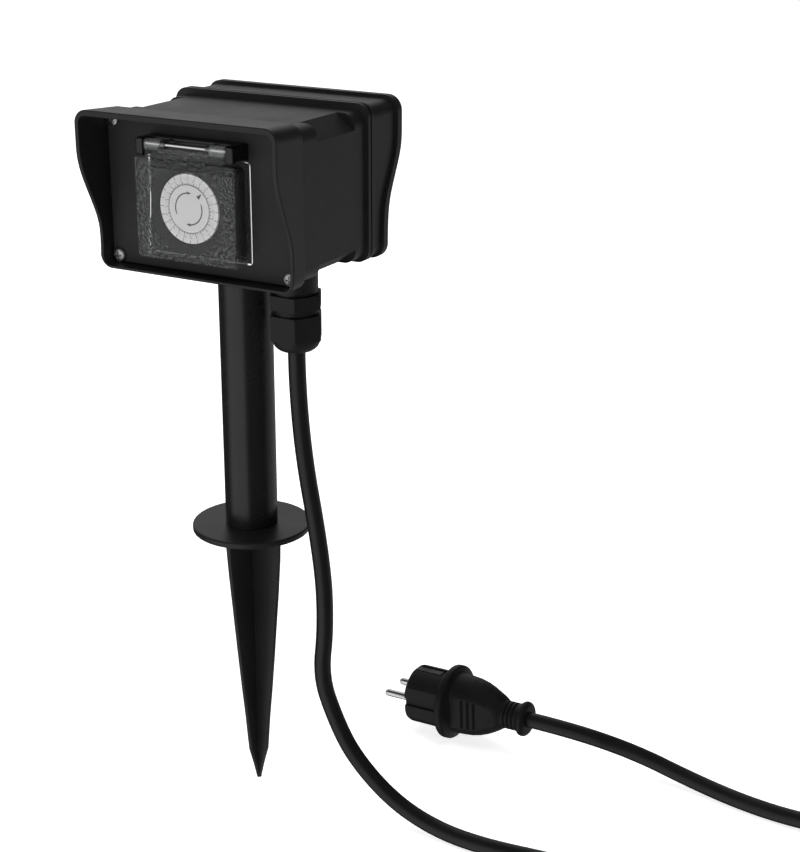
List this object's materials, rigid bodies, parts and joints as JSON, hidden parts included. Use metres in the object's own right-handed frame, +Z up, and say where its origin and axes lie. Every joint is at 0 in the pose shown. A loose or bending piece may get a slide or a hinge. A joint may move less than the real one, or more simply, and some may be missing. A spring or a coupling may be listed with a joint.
{
  "type": "outdoor socket timer",
  "caption": "Black outdoor mains timer box on a ground spike: clear hinged cover over a dial, hooded sockets behind, gland, cord and plug.",
  "frame": {"origin": "centre of the underside of the soil disc, on the axis of the pole", "axes": "+Z up along the pole, -Y towards the timer's cover, +X towards the cable gland's side"},
  "size_m": [0.5549, 0.2018, 0.438],
  "materials": {
    "housing_plastic": "satin moulded black plastic with a fine grain",
    "panel_plastic": "matte moulded black plastic",
    "pole_plastic": "smooth satin black tube",
    "clear_plastic": "clear moulded cover, frosted front with a smooth round window",
    "dial_plastic": "light grey moulded plastic",
    "tappet_plastic": "white moulded plastic",
    "faceplate_plastic": "smooth black plastic",
    "inner_plastic": "plain moulded plastic",
    "cord_rubber": "matte black rubber sheath",
    "seal_rubber": "soft black rubber",
    "plug_rubber": "satin black rubber",
    "gland_plastic": "satin black polyamide",
    "screw_steel": "bright nickel-plated steel",
    "pin_steel": "polished steel",
    "contact_brass": "bare brass",
    "motor_metal": "zinc-plated steel can",
    "wire_brown": "brown core insulation",
    "wire_blue": "blue core insulation",
    "wire_green_yellow": "green and yellow core insulation"
  },
  "bodies": {
    "housing": {"bracket_screws": "screw_steel", "cable_coil": "cord_rubber", "cable_tail": "cord_rubber", "contact_sleeves": "contact_brass", "cover_hinge_pin": "pin_steel", "cover_springs": "pin_steel", "dial_centre": "dial_plastic", "earth_clips": "contact_brass", "earth_wire": "wire_green_yellow", "flap_hinge_pins": "pin_steel", "flap_springs": "pin_steel", "front_housing": "housing_plastic", "front_panel": "panel_plastic", "gear_plate": "inner_plastic", "gear_plate_screws": "screw_steel", "gland_body": "gland_plastic", "gland_cap_nut": "gland_plastic", "gland_locknut": "gland_plastic", "gland_seal": "seal_rubber", "ground_spike": "pole_plastic", "hinge_bracket": "panel_plastic", "housing_gasket": "seal_rubber", "housing_screws": "screw_steel", "left_socket_insert": "panel_plastic", "live_wire": "wire_brown", "neutral_wire": "wire_blue", "panel_screws": "screw_steel", "plug_cable": "cord_rubber", "plug_earth_strips": "contact_brass", "plug_front": "plug_rubber", "plug_grip": "plug_rubber", "plug_pins": "pin_steel", "pole": "pole_plastic", "pole_screw": "screw_steel", "rear_housing": "housing_plastic", "rear_panel": "panel_plastic", "rear_panel_screws": "screw_steel", "right_socket_insert": "panel_plastic", "snap_switch": "inner_plastic", "supply_cable": "cord_rubber", "timer_case": "faceplate_plastic", "timer_faceplate": "faceplate_plastic", "timer_gasket": "seal_rubber", "timer_motor": "motor_metal", "timer_terminals": "contact_brass"},
    "cover": {"timer_cover": "clear_plastic"},
    "dial": {"dial_ring": "dial_plastic", "dial_gear": "inner_plastic"},
    "evening_program": {"evening_tappets": "tappet_plastic"},
    "day_program": {"day_tappets": "tappet_plastic"},
    "counter_wheel": {"counter_pinion": "inner_plastic", "counter_gear": "inner_plastic"},
    "motor_rotor": {"motor_pinion": "inner_plastic"},
    "switch_arm": {"switch_lever": "inner_plastic"},
    "left_lid": {"left_flap": "panel_plastic"},
    "right_lid": {"right_flap": "panel_plastic"}
  },
  "joints": [
    {"name": "cover_hinge", "type": "hinge", "parent": "housing", "child": "cover", "pos_m": [0, -0.053, 0.2445], "axis": [-1, 0, 0], "range_deg": [0, 120], "stiffness_Nm_per_rad": 0.004, "springref_deg": -57.3},
    {"name": "dial_turn", "type": "hinge", "parent": "housing", "child": "dial", "pos_m": [0, -0.05, 0.2098], "axis": [0, 1, 0], "continuous": true},
    {"name": "evening_tappets_press", "type": "slide", "parent": "dial", "child": "evening_program", "axis": [0, 1, 0], "range_m": [0, 0.0011]},
    {"name": "day_tappets_press", "type": "slide", "parent": "dial", "child": "day_program", "axis": [0, 1, 0], "range_m": [0, 0.0011]},
    {"name": "counter_turn", "type": "hinge", "parent": "housing", "child": "counter_wheel", "pos_m": [-0.01273, -0.047, 0.19707], "axis": [0, 1, 0], "continuous": true},
    {"name": "motor_turn", "type": "hinge", "parent": "housing", "child": "motor_rotor", "pos_m": [-0.00315, -0.045, 0.20511], "axis": [0, 1, 0], "continuous": true},
    {"name": "switch_arm_rock", "type": "hinge", "parent": "housing", "child": "switch_arm", "pos_m": [0.0246, -0.0455, 0.2075], "axis": [0, -1, 0], "range_deg": [0, 4], "stiffness_Nm_per_rad": 0.0002, "springref_deg": -17.19},
    {"name": "left_flap_hinge", "type": "hinge", "parent": "housing", "child": "left_lid", "pos_m": [-0.0312, 0.0512, 0.2436], "axis": [1, 0, 0], "range_deg": [0, 95], "stiffness_Nm_per_rad": 0.003, "springref_deg": -57.3},
    {"name": "right_flap_hinge", "type": "hinge", "parent": "housing", "child": "right_lid", "pos_m": [0.0312, 0.0512, 0.2436], "axis": [1, 0, 0], "range_deg": [0, 95], "stiffness_Nm_per_rad": 0.003, "springref_deg": -57.3}
  ],
  "couplings": [
    {"joint": "counter_turn", "follows": "dial_turn", "ratio": -5},
    {"joint": "motor_turn", "follows": "dial_turn", "ratio": 20}
  ]
}
